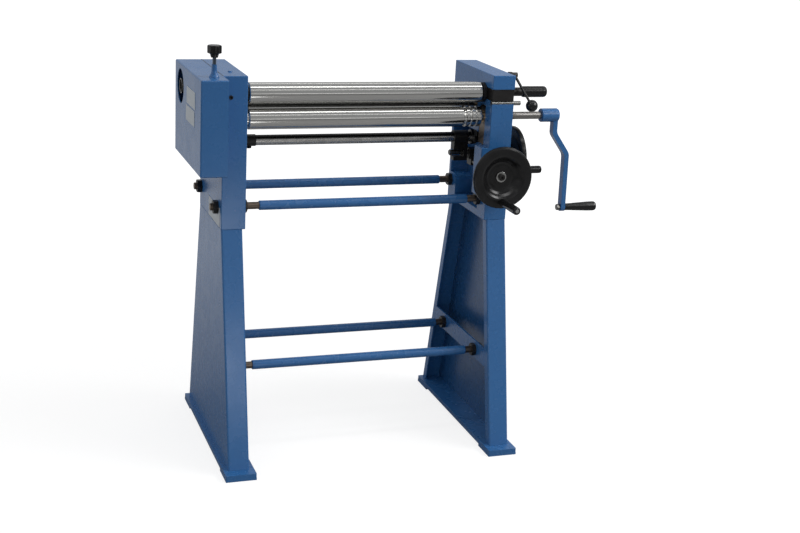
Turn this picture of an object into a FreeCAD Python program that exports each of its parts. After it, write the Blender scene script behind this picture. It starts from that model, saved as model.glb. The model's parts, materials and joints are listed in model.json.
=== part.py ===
import FreeCAD, Part
import math
import os

# Slip roll machine on a two legged stand, in millimetres.
# X runs along the rolls from the gear end to the crank end, Y runs to the back, Z is up.
# The floor is at Z = 0. While building, X = 0 is midway between the side frames and Y = 0
# is the middle of the foot plates. The last step moves everything so that the origin is
# the centre of the machine's outline on the floor.

V = FreeCAD.Vector

# Fits
running_gap = 0.05
sliding_gap = 0.2
contact_gap = 0.15
end_gap = 0.5

# Side frames
frame_span = 711.0
frame_thickness = 68.0
frame_depth = 300.0
frame_front = -135.0
frame_bottom = 676.0
frame_height = 424.0
frame_edge_radius = 2.0
web_thickness = 14.0
front_rail = 60.0
back_rail = 16.0
bottom_rail = 20.0
top_rail = 178.0
rod_boss_depth = 59.0
rod_boss_height = 82.0
half_span = frame_span / 2
outer_face = half_span + frame_thickness
frame_back = frame_front + frame_depth
frame_top = frame_bottom + frame_height
pocket_depth = frame_thickness - web_thickness
pocket_front = frame_front + front_rail
pocket_floor = frame_bottom + bottom_rail
pocket_top = frame_top - top_rail

# Rolls
roll_radius = 30.0
roll_side_gap = 14.0
roll_chamfer = 2.5
roll_y = frame_front + 65.0
roll_spacing = 70.0
upper_z = frame_top - 57.5
lower_z = upper_z - roll_spacing
rear_y = roll_y + 66.0
rear_z = lower_z + 17.5
roll_length = frame_span - 2 * roll_side_gap
half_roll = roll_length / 2
groove_insets = (51.0, 34.0, 17.0)
groove_radii = (5.0, 3.5, 3.0)
lower_roll_reach = 2.5
collar_length = 7.5
collar_radius = 22.0
lower_journal = 15.0
upper_journal = 10.0
rear_journal = 12.0

# Pivot of the top roll and of the lower roll, inside the gear side frame
pivot_depth = 40.0
pivot_x = -(half_span + pivot_depth)
roll_ball = 20.0
bush_ball = 26.0
drive_pin_radius = 5.0
set_screw_x = pivot_x - 6.0
set_screw_radius = 6.0
oil_plug_x = pivot_x + 6.0
oil_plug_y = roll_y + 8.0
oil_plug_radius = 4.0
sleeve_radius = 27.0
sleeve_bush_radius = 31.0
ball_seat_radius = 30.0

# Gear pair
gear_teeth = 20
gear_module = roll_spacing / gear_teeth
gear_width = 24.0
gear_gap = 20.0
gear_right = -(outer_face + gear_gap)
gear_left = gear_right - gear_width
gear_backlash = 0.5
gear_end = 4.0
gear_sleeve_radius = 16.0
gear_shaft_radius = 12.0
pressure_angle = math.radians(20.0)

# Slot for the swing carrier in the crank side frame
slot_height = 34.0
slot_ceiling = upper_z + slot_height / 2 + 0.5
support_top = slot_ceiling - slot_height
slot_back = roll_y + 26.0
slot_bar_radius = 6.5
slot_bar_y = frame_front + 8.0
slot_step = 9.0
carrier_gap_below = 0.3
carrier_gap_above = 0.7

# Pull grip
grip_neck_radius = 12.8
pull_grip_left = outer_face + 52.5
pull_grip_length = 75.0
pull_grip_radius = 16.0

# Clamp lever, carried by an ear of the swing carrier
clamp_y = roll_y + 10.0
clamp_z = frame_top - 10.0
clamp_offset = 0.8
clamp_cam_radius = 5.0
clamp_shaft_radius = 6.0
clamp_ledge_width = 9.0
clamp_ledge_right = outer_face + clamp_ledge_width
clamp_ear_left = clamp_ledge_right + 3.0
clamp_ear_right = clamp_ear_left + 10.0
clamp_hub_right = outer_face + 36.5
ball_centre = V(outer_face + 56.5, frame_front, frame_top - 87.4)
ball_radius = 17.5

# Rear roll lift
shaft_y = rear_y + 34.0
shaft_z = rear_z - 99.0
shaft_radius = 15.0
shaft_collar_wall = 2.0
lift_nose_radius = 10.0
lift_limit = 8.0
lift_arm_width = 16.0
lift_rod_radius = 8.0
lift_rod_depth = 14.0
rear_block_half = 25.0
rear_block_width = 41.0
lever_arm = 47.0
lever_pin_radius = 7.0
lever_half = 15.0
lever_plate = 12.0
lever_reach = 48.0
pin_z = shaft_z - lever_arm
screw_depth = 20.0
screw_x = half_span + screw_depth
screw_z = pin_z - 26.0
screw_radius = 9.0
screw_reach = 32.0
nut_half = 16.0
nut_near = 3.0
nut_far = 32.0

# Lower roll lift
lower_block_half = 21.0
lower_block_height = 28.0
lower_block_drop = 80.5
lower_block_width = 51.0
lower_bush_radius = 18.0
lower_neck = 14.0
lift_stem_radius = 10.0
lift_stem_depth = 27.0
wedge_top = lower_z - 92.5
wedge_height = 42.0
wedge_half = 14.0
wedge_travel = 12.0
wedge_slope = 0.25
wedge_lift = wedge_travel * wedge_slope
side_screw_z = wedge_top - 30.0
side_screw_radius = 7.0

# Handwheels
wheel_radius = 90.0
wheel_bore = 8.0
wheel_stub_inset = 19.0
wheel_seat = 3.0
grip_radius = 11.5
grip_length = 109.0
grip_circle = 69.5
grip_bolt_radius = 4.0
wheel_bolt_radius = 5.0
front_wheel_face = frame_front - 73.0
side_wheel_face = outer_face + 45.0
wheel_gap = 2.0
front_grip_angle = -89.0
side_grip_angle = -49.0
boss_depth = 22.0
boss_above = 72.0
boss_over_rod = 19.0

# Crank
crank_shaft_radius = 11.0
crank_hub_radius = 20.0
crank_reach = 116.5
crank_hub_left = outer_face + crank_reach
crank_hub_length = 57.5
crank_hub_right = crank_hub_left + crank_hub_length
crank_arm_inset = 10.5
crank_arm_shift = 48.5
crank_arm_thickness = 14.0
crank_bend_radius = 30.0
crank_arm_width = 24.0
crank_throw = 282.5
crank_bend_top = 54.5
crank_bend_bottom = 117.5
crank_pin_radius = 5.0
crank_grip_length = 105.0
arm_top_x = crank_hub_right - crank_arm_inset
arm_low_x = arm_top_x + crank_arm_shift
crank_z = lower_z - crank_throw

# Stand
pad_height = 7.0
base_thickness = 12.0
base_bottom = pad_height
base_top = base_bottom + base_thickness
leg_sheet = 4.0
leg_lip = 28.0
leg_depth = 60.0
leg_cap = 8.0
leg_bend_radius = 5.0
leg_spread_front = 142.0
leg_spread_back = 140.0
leg_top_front = frame_front
leg_top_back = frame_back
leg_foot_front = frame_front - leg_spread_front
leg_foot_back = frame_back + leg_spread_back
leg_inner = outer_face - leg_depth
base_front = leg_foot_front - 33.0
base_back = leg_foot_back + 6.0
base_outer = outer_face + 13.0
base_inner = leg_inner - 14.0
pad_length = 82.0
strap_height = 52.0
strap_thickness = 6.0
strap_z = 267.0
frame_bolt_radius = 6.0
frame_bolt_depth = 24.0
frame_bolt_inset = 35.0

# Tie rods
tube_radius = 13.45
tube_grip = 20.0
stud_radius = 10.0
stud_hole_gap = 0.3
stud_tail = 8.0
upper_rod_z = frame_bottom + 54.0
rear_rod_rise = 4.0
upper_rod_front = frame_front + 50.0
upper_rod_rear = frame_back - 20.0
upper_rods = ((upper_rod_front, upper_rod_z), (upper_rod_rear, upper_rod_z + rear_rod_rise))
lower_rod_front = frame_front + 21.0
lower_rod_rear = frame_back - 23.0
upper_bare_ends = (48.5, 40.0)
lower_bare_ends = (31.5, 24.5)
nut_width = 34.0
inner_nut = 13.0
outer_nut = 14.0

# Gear cover
cover_sheet = 2.5
cover_width = 74.0
cover_left = -(outer_face + cover_width)
cover_overhang = 74.5
cover_front = frame_front - cover_overhang
cover_drop = 259.0
cover_bottom = frame_top - cover_drop
cover_edge_radius = 4.0
window_y = frame_back - 82.0
window_z = frame_top - 62.0
window_radius = 48.0
window_sleeve_radius = 21.0
window_sleeve_wall = 2.5
knob_offset = 29.0
knob_x = -(outer_face + knob_offset)
knob_y = frame_front - 22.0
knob_boss_height = 35.0
knob_height = 53.0
knob_spindle_radius = 5.0
lug_thickness = 12.0
lug_drop = 26.0
plate_thickness = 0.8
upper_plate = (frame_front + 2.0, 119.0, frame_top - 91.0, 46.0)
lower_plate = (frame_front + 10.0, 121.0, frame_top - 139.0, 42.0)
frame_plate = (frame_front + 17.0, 151.0, frame_bottom + 3.0, 54.0)

parts = {}


def block(x0, x1, y0, y1, z0, z1):
    low = V(min(x0, x1), min(y0, y1), min(z0, z1))
    return Part.makeBox(abs(x1 - x0), abs(y1 - y0), abs(z1 - z0), low)


def rod_x(x0, x1, y, z, radius):
    return Part.makeCylinder(radius, abs(x1 - x0), V(min(x0, x1), y, z), V(1, 0, 0))


def ring_x(x0, x1, y, z, outer, inner):
    return rod_x(x0, x1, y, z, outer).cut(rod_x(x0 - 1, x1 + 1, y, z, inner))


def rod_y(y0, y1, x, z, radius):
    return Part.makeCylinder(radius, abs(y1 - y0), V(x, min(y0, y1), z), V(0, 1, 0))


def rod_z(z0, z1, x, y, radius):
    return Part.makeCylinder(radius, abs(z1 - z0), V(x, y, min(z0, z1)), V(0, 0, 1))


def side_block(side, d0, d1, y0, y1, z0, z1):
    return block(side * (half_span + d0), side * (half_span + d1), y0, y1, z0, z1)


def side_rod(side, d0, d1, y, z, radius):
    return rod_x(side * (half_span + d0), side * (half_span + d1), y, z, radius)


def polygon_solid(points, direction):
    wire = Part.makePolygon(points + [points[0]])
    return Part.Face(wire).extrude(direction)


def turned(profile, base, axis):
    # The profile holds (radius, height) points; height runs along the axis from the base.
    points = [V(r, 0, h) for r, h in profile]
    wire = Part.makePolygon(points + [points[0]])
    solid = Part.Face(wire).revolve(V(0, 0, 0), V(0, 0, 1), 360)
    solid.Placement = FreeCAD.Placement(base, FreeCAD.Rotation(V(0, 0, 1), axis))
    return solid


def hexagon(across_flats, height, base, axis):
    radius = across_flats / math.sqrt(3)
    corners = []
    for i in range(6):
        angle = math.radians(60 * i + 30)
        corners.append(V(radius * math.cos(angle), radius * math.sin(angle), 0))
    prism = polygon_solid(corners, V(0, 0, height))
    chamfer = turned([(0, 0), (across_flats / 2, 0), (radius + 0.1, 1.6),
                      (radius + 0.1, height - 1.6), (across_flats / 2, height), (0, height)],
                     V(0, 0, 0), V(0, 0, 1))
    prism = prism.common(chamfer)
    prism.Placement = FreeCAD.Placement(base, FreeCAD.Rotation(V(0, 0, 1), axis))
    return prism


def fillet_where(solid, radius, test):
    edges = [edge for edge in solid.Edges if test(edge)]
    return solid.makeFillet(radius, edges) if edges else solid


def fuse(shapes):
    result = shapes[0]
    if len(shapes) > 1:
        result = result.multiFuse(shapes[1:]).removeSplitter()
    return result


def compound(shapes):
    return Part.makeCompound(shapes)


def involute(angle):
    return math.tan(angle) - angle


def spur_gear(turn, bore, y, z):
    pitch = gear_module * gear_teeth / 2
    base = pitch * math.cos(pressure_angle)
    tip = pitch + gear_module
    root = pitch - 1.25 * gear_module
    start = max(root + 0.3, base + 0.05)
    half = math.pi / (2 * gear_teeth) - gear_backlash / (4 * pitch)
    points = []
    for tooth in range(gear_teeth):
        centre = turn + 2 * math.pi * tooth / gear_teeth
        flank = []
        for step in range(5):
            radius = start + (tip - start) * step / 4
            spread = half + involute(pressure_angle) - involute(math.acos(base / radius))
            flank.append((radius, spread))
        left = [(root, flank[0][1] + 0.02)] + flank
        for radius, spread in left:
            points.append((radius, centre - spread))
        for radius, spread in reversed(left):
            points.append((radius, centre + spread))
    corners = [V(gear_left, y + r * math.cos(a), z + r * math.sin(a)) for r, a in points]
    solid = polygon_solid(corners, V(gear_width, 0, 0))
    return solid.cut(rod_x(gear_left - 1, gear_right + 1, y, z, bore))


# Side frames

def frame_body(side):
    body = side_block(side, 0, frame_thickness, frame_front, frame_back, frame_bottom, frame_top)
    body = body.makeFillet(frame_edge_radius, body.Edges)
    pocket = side_block(side, -1, pocket_depth, pocket_front, frame_back - back_rail,
                        pocket_floor, pocket_top)
    boss = side_block(side, -2, pocket_depth + 1, frame_back - rod_boss_depth, frame_back,
                      pocket_floor - 1, frame_bottom + rod_boss_height)
    corner_y = frame_back - rod_boss_depth
    corner_z = frame_bottom + rod_boss_height
    boss = fillet_where(boss, 18.0, lambda e: abs(e.BoundBox.YMax - corner_y) < 0.1
                        and abs(e.BoundBox.YMin - corner_y) < 0.1
                        and abs(e.BoundBox.ZMin - corner_z) < 0.1)
    body = body.cut(pocket.cut(boss))
    for y, z in upper_rods:
        body = body.cut(side_rod(side, -1, frame_thickness + 1, y, z,
                                 stud_radius + stud_hole_gap))
    # Slot of the rear roll's bearing block and the hole for its push rod
    room = rear_block_half + lift_limit + 4
    body = body.cut(side_block(side, -1, rear_block_width + 3, rear_y - rear_block_half,
                               rear_y + rear_block_half, rear_z - room, rear_z + room))
    body = body.cut(rod_z(pocket_top - 1, rear_z - room + 1, side * (half_span + lift_rod_depth),
                          rear_y, lift_rod_radius + 1))
    # Seat of the lift shaft in the web
    body = body.cut(side_rod(side, pocket_depth - 1, frame_thickness - 4, shaft_y, shaft_z,
                             shaft_radius + running_gap))
    for y in (frame_front + frame_bolt_inset, frame_back - frame_bolt_inset):
        body = body.cut(rod_z(frame_bottom - 1, frame_bottom + bottom_rail - 2,
                              side * (outer_face - frame_bolt_depth), y, frame_bolt_radius))
    return body


def left_frame():
    body = frame_body(-1)
    body = body.cut(side_rod(-1, -1, frame_thickness + 1, roll_y, upper_z, sleeve_bush_radius))
    body = body.cut(side_rod(-1, -1, frame_thickness + 1, roll_y, lower_z, ball_seat_radius))
    body = body.cut(rod_y(frame_front - 1, roll_y, set_screw_x, upper_z, set_screw_radius))
    body = body.cut(rod_z(upper_z, frame_top + 1, oil_plug_x, oil_plug_y, oil_plug_radius))
    # Lug that the gear cover's knob screws into
    lug_top = frame_top - lug_drop
    lug_back = frame_front + 23
    lug_end = outer_face + knob_offset + 14
    lug = block(-outer_face - 30, -outer_face + 3, frame_front + 3, lug_back,
                lug_top - 2 * lug_thickness, lug_top)
    arm = block(-lug_end, -outer_face - knob_offset + 13, knob_y - 14, lug_back,
                lug_top - lug_thickness, lug_top)
    body = fuse([body, lug, arm])
    return body.cut(rod_z(lug_top - lug_thickness - 1, lug_top + 1, knob_x, knob_y,
                          knob_spindle_radius + running_gap))


def right_frame():
    body = frame_body(1)
    # Boss around the front handwheel's screw
    boss = block(half_span - boss_depth, half_span + 1, frame_front, pocket_front - 3,
                 upper_rod_z + boss_over_rod, screw_z + boss_above)
    boss = fillet_where(boss, 3.0, lambda e: e.BoundBox.XMax < half_span - boss_depth + 1
                        and e.BoundBox.YLength < 0.1)
    body = fuse([body, boss])
    body = body.cut(rod_y(frame_front - 1, pocket_front + 1, screw_x, screw_z,
                          screw_radius + running_gap))
    # Open slot for the swing carrier, a step lower at its mouth for the bar
    left = half_span - 1
    right = outer_face + 1
    body = body.cut(block(left, right, frame_front - 1, slot_back, support_top, slot_ceiling))
    body = body.cut(block(left, right, frame_front - 1, slot_bar_y + slot_bar_radius + 1.5,
                          support_top - slot_step, slot_ceiling))
    body = body.cut(rod_x(left, right, slot_bar_y, support_top - slot_bar_radius,
                          slot_bar_radius))
    # Slot for the lower roll's bearing block, its push rod and the crank shaft
    low = lower_z - lower_block_drop - 3
    stem_x = half_span + lift_stem_depth
    body = body.cut(block(left, half_span + pocket_depth, roll_y - lower_block_half,
                          roll_y + lower_block_half, low,
                          lower_z + lower_block_height + wedge_lift + 2.5))
    body = body.cut(rod_z(wedge_top, low + 1, stem_x, roll_y, lift_stem_radius + 2))
    body = body.cut(rod_x(half_span + pocket_depth - 1, right, roll_y, lower_z + wedge_lift / 2,
                          crank_shaft_radius + wedge_lift / 2 + 2.5))
    # Room for the wedge and the hole for its screw
    body = body.cut(block(half_span + 2, half_span + pocket_depth, roll_y - wedge_half - 2,
                          pocket_front + 1, wedge_top - wedge_height - 4, wedge_top + 10))
    body = body.cut(rod_x(half_span + pocket_depth - 1, right, roll_y, side_screw_z,
                          side_screw_radius + running_gap))
    # Ledge under the cam of the clamp lever
    cam_bottom = clamp_z - clamp_cam_radius - clamp_offset
    ledge = block(outer_face - 1, clamp_ledge_right, clamp_y - 34, clamp_y + 26,
                  cam_bottom - 14, cam_bottom - contact_gap)
    return fuse([body, ledge])


parts["left_frame"] = left_frame()
parts["right_frame"] = right_frame()


# Stand

def leg_outline(inset):
    rise = frame_bottom - base_top
    front_lean = (leg_top_front - leg_foot_front) / rise
    back_lean = (leg_foot_back - leg_top_back) / rise
    front_inset = inset * math.sqrt(1 + front_lean ** 2)
    back_inset = inset * math.sqrt(1 + back_lean ** 2)
    return [(leg_foot_front + front_inset, base_top), (leg_foot_back - back_inset, base_top),
            (leg_top_back - back_inset, frame_bottom), (leg_top_front + front_inset, frame_bottom)]


def leg_prism(side, inset, x0, x1):
    points = [V(side * x0, y, z) for y, z in leg_outline(inset)]
    return polygon_solid(points, V(side * (x1 - x0), 0, 0))


def is_slanted(edge):
    box = edge.BoundBox
    return box.ZLength > 500 and box.XLength < 0.01


def leg(side):
    body = leg_prism(side, 0, leg_inner, outer_face)
    body = fillet_where(body, leg_bend_radius, is_slanted)
    hollow = leg_prism(side, leg_sheet, leg_inner + leg_sheet, outer_face - leg_sheet)
    mouth = leg_prism(side, leg_lip, leg_inner - 1, leg_inner + leg_sheet + 1)
    body = body.cut(hollow).cut(mouth)
    cap = leg_prism(side, leg_sheet / 2, leg_inner + leg_sheet, outer_face - leg_sheet / 2)
    cap = cap.common(side_block(side, 0, frame_thickness, frame_front, frame_back,
                                frame_bottom - leg_cap, frame_bottom))
    body = fuse([body, cap])
    for y in (frame_front + frame_bolt_inset, frame_back - frame_bolt_inset):
        body = body.cut(rod_z(frame_bottom - leg_cap - 1, frame_bottom + 1,
                              side * (outer_face - frame_bolt_depth), y,
                              frame_bolt_radius + 0.5))
    return body


def strap(side):
    prism = leg_prism(side, leg_lip, leg_inner, leg_inner + strap_thickness)
    band = side_block(side, 0, frame_thickness, leg_foot_front, leg_foot_back,
                      strap_z - strap_height / 2, strap_z + strap_height / 2)
    body = prism.common(band)
    for y in (lower_rod_front, lower_rod_rear):
        body = body.cut(rod_x(side * (leg_inner - 1), side * (leg_inner + strap_thickness + 1),
                              y, strap_z, stud_radius + stud_hole_gap))
    return body


def base_plate(side):
    plate = block(side * base_inner, side * base_outer, base_front, base_back,
                  base_bottom, base_top)
    return fillet_where(plate, 3.0, lambda e: e.BoundBox.ZLength > 5)


def foot_pads():
    pads = []
    for side in (-1, 1):
        for y0, y1 in ((base_front, base_front + pad_length), (base_back - pad_length, base_back)):
            pads.append(block(side * base_inner, side * base_outer, y0, y1, 0, base_bottom))
    return pads


for side, name in ((-1, "left"), (1, "right")):
    parts[name + "_leg"] = leg(side)
parts["straps"] = compound([strap(-1), strap(1)])
parts["base_plates"] = compound([base_plate(-1), base_plate(1)])
parts["foot_pads"] = compound(foot_pads())


def frame_bolts():
    bolts = []
    head_bottom = frame_bottom - leg_cap - 8
    for side in (-1, 1):
        for y in (frame_front + frame_bolt_inset, frame_back - frame_bolt_inset):
            x = side * (outer_face - frame_bolt_depth)
            shank = rod_z(head_bottom + 7, frame_bottom + bottom_rail - 4, x, y,
                          frame_bolt_radius)
            head = hexagon(3 * frame_bolt_radius, 8, V(x, y, head_bottom), V(0, 0, 1))
            bolts.append(fuse([shank, head]))
    return bolts


parts["frame_bolts"] = compound(frame_bolts())


# Tie rods

strap_inner = leg_inner - half_span
rods = (("upper", *upper_rods[0], upper_bare_ends, 0.0, frame_thickness),
        ("upper", *upper_rods[1], upper_bare_ends, 0.0, frame_thickness),
        ("lower", lower_rod_front, strap_z, lower_bare_ends, strap_inner,
         strap_inner + strap_thickness),
        ("lower", lower_rod_rear, strap_z, lower_bare_ends, strap_inner,
         strap_inner + strap_thickness))
tubes = {"upper": [], "lower": []}
studs = []
inner_nuts = []
outer_nuts = []
for row, y, z, bare_ends, near, far in rods:
    ends = (bare_ends[0] - half_span, half_span - bare_ends[1])
    tube = rod_x(ends[0], ends[1], y, z, tube_radius)
    tube = tube.makeChamfer(1.5, [e for e in tube.Edges if e.BoundBox.XLength < 0.01])
    reach = half_span + far + outer_nut + stud_tail
    for side, end in ((-1, ends[0]), (1, ends[1])):
        stud = rod_x(end - side * tube_grip, side * reach, y, z, stud_radius)
        tip = [e for e in stud.Edges if abs(abs(e.BoundBox.XMin) - reach) < 0.01
               and e.BoundBox.XLength < 0.01]
        studs.append(stud.makeChamfer(1.5, tip))
        tube = tube.cut(rod_x(end - side * tube_grip, end + side, y, z, stud_radius))
        axis = V(side, 0, 0)
        for start, thick, store in ((near - inner_nut, inner_nut, inner_nuts),
                                    (far, outer_nut, outer_nuts)):
            nut = hexagon(nut_width, thick, V(side * (half_span + start), y, z), axis)
            bore = rod_x(side * (half_span + start - 1), side * (half_span + start + thick + 1),
                         y, z, stud_radius)
            store.append(nut.cut(bore))
    tubes[row].append(tube)
parts["upper_tubes"] = compound(tubes["upper"])
parts["lower_tubes"] = compound(tubes["lower"])
parts["rod_studs"] = compound(studs)
parts["inner_nuts"] = compound(inner_nuts)
parts["outer_nuts"] = compound(outer_nuts)


# Gear cover and what is fixed to it

def gear_cover():
    right = -outer_face
    body = block(cover_left, right, cover_front, frame_back, cover_bottom, frame_top)
    body = fillet_where(body, cover_edge_radius, lambda e: e.BoundBox.XMax < right - 1
                        or (e.BoundBox.XLength > 10 and e.BoundBox.YLength < 0.1))
    t = cover_sheet
    body = body.cut(block(cover_left + t, right - t, cover_front + t, frame_back - t,
                          cover_bottom + t, frame_top - t))
    body = body.cut(block(right - t - 1, right + 1, frame_front + 0.5, frame_back - t,
                          cover_bottom + t, frame_top - t))
    body = body.cut(rod_x(cover_left - 1, cover_left + t + 1, window_y, window_z, window_radius))
    bore = knob_spindle_radius + 0.5
    h = knob_boss_height
    boss = turned([(0, -1), (14, -1), (14, 0), (13.2, 0.09 * h), (9.2, 0.29 * h), (7.4, 0.5 * h),
                   (6.9, h), (0, h)], V(knob_x, knob_y, frame_top), V(0, 0, 1))
    body = fuse([body, boss])
    return body.cut(rod_z(frame_top - t - 1, frame_top + h + 1, knob_x, knob_y, bore))


parts["gear_cover"] = gear_cover()


def bare_plate(face, place):
    front, length, bottom, height = place
    return block(face - plate_thickness, face, front, front + length, bottom, bottom + height)


nut_room = rod_x(-outer_face - 2, -outer_face, upper_rod_front, upper_rod_z, 0.62 * nut_width)
parts["label_plates"] = compound([bare_plate(cover_left, upper_plate),
                                  bare_plate(cover_left, lower_plate),
                                  bare_plate(-outer_face, frame_plate).cut(nut_room)])
parts["window_sleeve"] = ring_x(cover_left + 1, -outer_face, window_y, window_z,
                                window_sleeve_radius, window_sleeve_radius - window_sleeve_wall)


def star_knob():
    base = V(knob_x, knob_y, frame_top + knob_height)
    hub = turned([(0, 0), (9.5, 0), (10.5, 4), (12, 9), (19, 12), (19, 30), (17, 32), (0, 32)],
                 base, V(0, 0, 1))
    for i in range(6):
        angle = math.radians(60 * i + 15)
        x = knob_x + 24.5 * math.cos(angle)
        y = knob_y + 24.5 * math.sin(angle)
        hub = hub.cut(rod_z(base.z + 11, base.z + 33, x, y, 8.5))
    return hub.cut(rod_z(base.z - 1, base.z + 20, knob_x, knob_y, knob_spindle_radius))


parts["star_knob"] = star_knob()
parts["knob_spindle"] = rod_z(frame_top - lug_drop - lug_thickness - 4,
                              frame_top + knob_height + 20, knob_x, knob_y, knob_spindle_radius)


# Top roll, its ball end drive and the gear above

def upper_roll():
    c = roll_chamfer
    reach = roll_length + roll_side_gap + 42
    body = turned([(0, 0), (roll_radius - c, 0), (roll_radius, c), (roll_radius, roll_length - c),
                   (roll_radius - c, roll_length), (upper_journal, roll_length),
                   (upper_journal, reach), (0, reach)], V(-half_roll, roll_y, upper_z), V(1, 0, 0))
    neck = rod_x(-half_roll, -half_roll - roll_side_gap - 6, roll_y, upper_z, 14)
    stalk = rod_x(-half_roll - roll_side_gap - 5, pivot_x, roll_y, upper_z, 11.5)
    ball = Part.makeSphere(roll_ball, V(pivot_x, roll_y, upper_z), V(1, 0, 0))
    body = fuse([body, neck, stalk, ball])
    return body.cut(rod_z(upper_z - 30, upper_z + 30, pivot_x, roll_y, drive_pin_radius))


def drive_sleeve():
    x0 = gear_left - gear_end
    mouth = pivot_x + roll_ball - 1.5
    shoulder = gear_right + 3 - x0
    face = -outer_face - end_gap - x0
    profile = [(0, 0), (gear_sleeve_radius, 0), (gear_sleeve_radius, shoulder),
               (ball_seat_radius, shoulder), (ball_seat_radius, face), (sleeve_radius, face),
               (sleeve_radius, mouth - x0), (0, mouth - x0)]
    body = turned(profile, V(x0, roll_y, upper_z), V(1, 0, 0))
    body = body.cut(rod_x(pivot_x - roll_ball - 2, pivot_x + 12.5, roll_y, upper_z,
                          roll_ball + running_gap))
    body = body.cut(rod_x(pivot_x, pivot_x + roll_ball, roll_y, upper_z, 17))
    half_slot = drive_pin_radius + sliding_gap
    slot = block(pivot_x - 11, pivot_x + 11, roll_y - half_slot, roll_y + half_slot,
                 upper_z - 30, upper_z + 30)
    return body.cut(slot)


parts["upper_roll"] = upper_roll()
parts["upper_roll_collar"] = ring_x(-half_roll - collar_length, -half_roll, roll_y, upper_z,
                                    collar_radius, 14)
parts["drive_pin"] = rod_z(upper_z - sleeve_radius + 1, upper_z + sleeve_radius - 1, pivot_x,
                           roll_y, drive_pin_radius)
parts["upper_gear"] = fuse([drive_sleeve(),
                            spur_gear(math.radians(90 + 180 / gear_teeth), gear_sleeve_radius,
                                      roll_y, upper_z)])
parts["sleeve_bush"] = ring_x(-outer_face, pivot_x + roll_ball - 1.5, roll_y, upper_z,
                              sleeve_bush_radius, sleeve_radius + running_gap)
socket = hexagon(set_screw_radius, 6, V(set_screw_x, frame_front - 1, upper_z), V(0, 1, 0))
parts["bush_set_screw"] = rod_y(frame_front - 0.8, roll_y - sleeve_bush_radius - contact_gap,
                                set_screw_x, upper_z, set_screw_radius).cut(socket)
parts["oil_plug"] = turned([(0, 0), (oil_plug_radius, 0), (oil_plug_radius, 26), (6.5, 26),
                            (5.5, 29), (0, 29)], V(oil_plug_x, oil_plug_y, frame_top - 26),
                           V(0, 0, 1))


# Swing carrier with its pull handle

def swing_carrier():
    body = block(half_span + 1, outer_face - 0.5, frame_front + 2, slot_back - 2,
                 support_top + carrier_gap_below, slot_ceiling - carrier_gap_above)
    body = fillet_where(body, 2.0, lambda e: e.BoundBox.ZLength > 20)
    flange = rod_x(half_roll + 3, half_span - 1.2, roll_y, upper_z, roll_radius - 2)
    web = rod_x(half_span - 3, half_span + 3, roll_y, upper_z, slot_height / 2 - 1.5)
    neck = rod_x(outer_face - 2, pull_grip_left, roll_y, upper_z, grip_neck_radius)
    ear = block(clamp_ear_left, clamp_ear_right, clamp_y - 14, clamp_y + 14,
                upper_z, clamp_z + 8)
    ear = fillet_where(ear, 6.0, lambda e: e.BoundBox.YLength < 0.1 and e.BoundBox.ZMin > clamp_z)
    body = fuse([body, web, flange, neck, ear])
    body = body.cut(rod_x(clamp_ear_left - 1, clamp_ear_right + 1, clamp_y, clamp_z,
                          clamp_shaft_radius + running_gap))
    return body.cut(rod_x(half_roll, half_span + 44.5, roll_y, upper_z,
                          upper_journal + running_gap))


def pull_grip():
    length = pull_grip_length
    r = pull_grip_radius
    points = [(0, 0), (r - 1.5, 0), (r, 2), (r, length - 6), (r - 2, length - 2),
              (r - 5, length), (0, length)]
    return turned(points, V(pull_grip_left, roll_y, upper_z), V(1, 0, 0))


parts["swing_carrier"] = swing_carrier()
parts["pull_grip"] = pull_grip()
parts["slot_bar"] = rod_x(half_span, outer_face + 22, slot_bar_y, support_top - slot_bar_radius,
                          slot_bar_radius)


# Clamp of the swing carrier

def clamp_lever():
    cam = rod_x(outer_face + 3, clamp_ear_left - end_gap, clamp_y, clamp_z - clamp_offset,
                clamp_cam_radius)
    shaft = rod_x(clamp_ear_left - end_gap, clamp_ear_right + 1, clamp_y, clamp_z,
                  clamp_shaft_radius)
    hub = rod_x(clamp_ear_right + end_gap, clamp_hub_right, clamp_y, clamp_z,
                clamp_shaft_radius + 1.5)
    start = V(clamp_hub_right - 8, clamp_y, clamp_z)
    line = ball_centre - start
    rod = turned([(0, 0), (4, 0), (3.4, line.Length - 4), (0, line.Length - 4)], start, line)
    return fuse([cam, shaft, hub, rod])


parts["clamp_lever"] = clamp_lever()
parts["clamp_ball"] = Part.makeSphere(ball_radius, ball_centre).cut(parts["clamp_lever"])


# Lower roll, its bearings and the crank

def grooved_roll(y, z, reach):
    c = roll_chamfer
    right = half_roll + reach
    length = right + half_roll
    body = turned([(0, 0), (roll_radius - c, 0), (roll_radius, c), (roll_radius, length - c),
                   (roll_radius - c, length), (0, length)],
                  V(-half_roll, y, z), V(1, 0, 0))
    for inset, radius in zip(groove_insets, groove_radii):
        ring = Part.makeTorus(roll_radius, radius, V(right - inset, y, z), V(1, 0, 0))
        body = body.cut(ring)
    return body


def lower_roll():
    block_right = half_span + 1 + lower_block_width
    return fuse([
        grooved_roll(roll_y, lower_z, lower_roll_reach),
        rod_x(-half_roll + 1, -half_roll - collar_length, roll_y, lower_z, collar_radius),
        rod_x(-half_roll + 5, gear_right, roll_y, lower_z, lower_journal),
        rod_x(gear_right + 5, gear_left - gear_end, roll_y, lower_z, gear_shaft_radius),
        rod_x(half_roll - 5, block_right, roll_y, lower_z, lower_neck),
        rod_x(block_right - 12, crank_hub_left + 11, roll_y, lower_z, crank_shaft_radius)])


parts["lower_roll"] = lower_roll()
parts["lower_gear"] = spur_gear(math.radians(90), gear_shaft_radius, roll_y, lower_z)


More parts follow.
